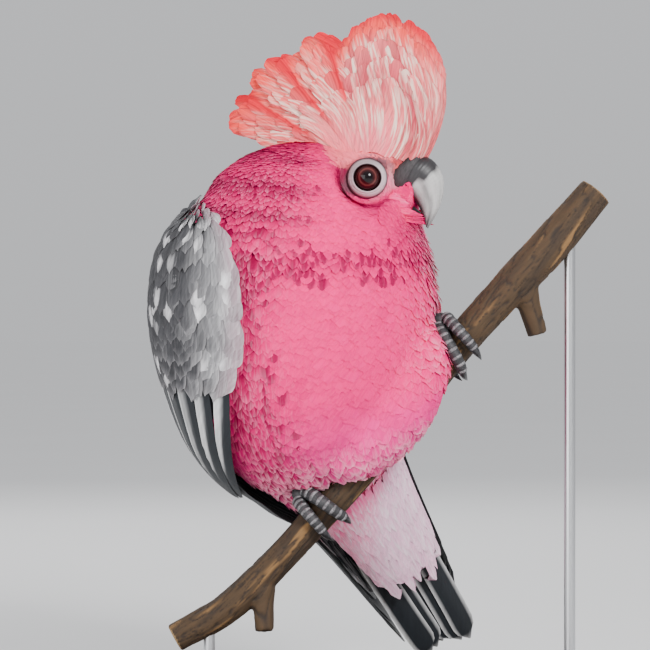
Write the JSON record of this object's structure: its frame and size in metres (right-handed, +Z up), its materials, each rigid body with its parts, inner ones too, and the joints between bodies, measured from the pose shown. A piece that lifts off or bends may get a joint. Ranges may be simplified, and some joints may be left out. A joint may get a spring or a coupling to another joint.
{
  "type": "galah",
  "caption": "Life-size still galah with its crest raised, gripping a sloping length of branch held by two thin rods on a flat display base.",
  "frame": {"origin": "centre of the stand base's flat underside", "axes": "+Z up, -Y towards the front of the stand, where the breast faces, and +X towards the raised end of the perch"},
  "size_m": [0.25, 0.19, 0.3614],
  "materials": {
    "rose_plumage": "soft vaned feathers, rose pink",
    "pale_plumage": "soft vaned feathers, pale pinkish grey",
    "crest_plumage": "long soft feathers, pale pink with coral tips",
    "grey_plumage": "overlapping vaned feathers, pale grey with dusky marks",
    "flight_feathers": "long smooth vaned feathers, charcoal with pale edges",
    "bill_horn": "horn, pale with fine growth lines",
    "cere_skin": "bare grey skin",
    "eye_ring_skin": "bare wrinkled skin, whitish pink",
    "eye": "wet and glossy",
    "foot_skin": "scaled grey skin with pale edges to the scutes",
    "claw_horn": "dark polished horn",
    "perch_wood": "rough brown bark, bare wood at the cut ends",
    "stand_wood": "dark satin varnish",
    "stand_steel": "brushed"
  },
  "bodies": {
    "root": {"bill_lower": "bill_horn", "bill_upper": "bill_horn", "cere": "cere_skin", "claw_left_1": "claw_horn", "claw_left_2": "claw_horn", "claw_left_3": "claw_horn", "claw_left_4": "claw_horn", "claw_right_1": "claw_horn", "claw_right_2": "claw_horn", "claw_right_3": "claw_horn", "claw_right_4": "claw_horn", "crest": "crest_plumage", "eye_left": "eye", "eye_right": "eye", "eye_ring_left": "eye_ring_skin", "eye_ring_right": "eye_ring_skin", "head": "rose_plumage", "leg_left": "foot_skin", "leg_right": "foot_skin", "neck": "rose_plumage", "perch": "perch_wood", "rump": "pale_plumage", "stand_base": "stand_wood", "stand_rod_high": "stand_steel", "stand_rod_low": "stand_steel", "tail": "flight_feathers", "trunk": "rose_plumage", "wing_left_coverts": "grey_plumage", "wing_left_flight": "flight_feathers", "wing_right_coverts": "grey_plumage", "wing_right_flight": "flight_feathers"}
  },
  "joints": []
}
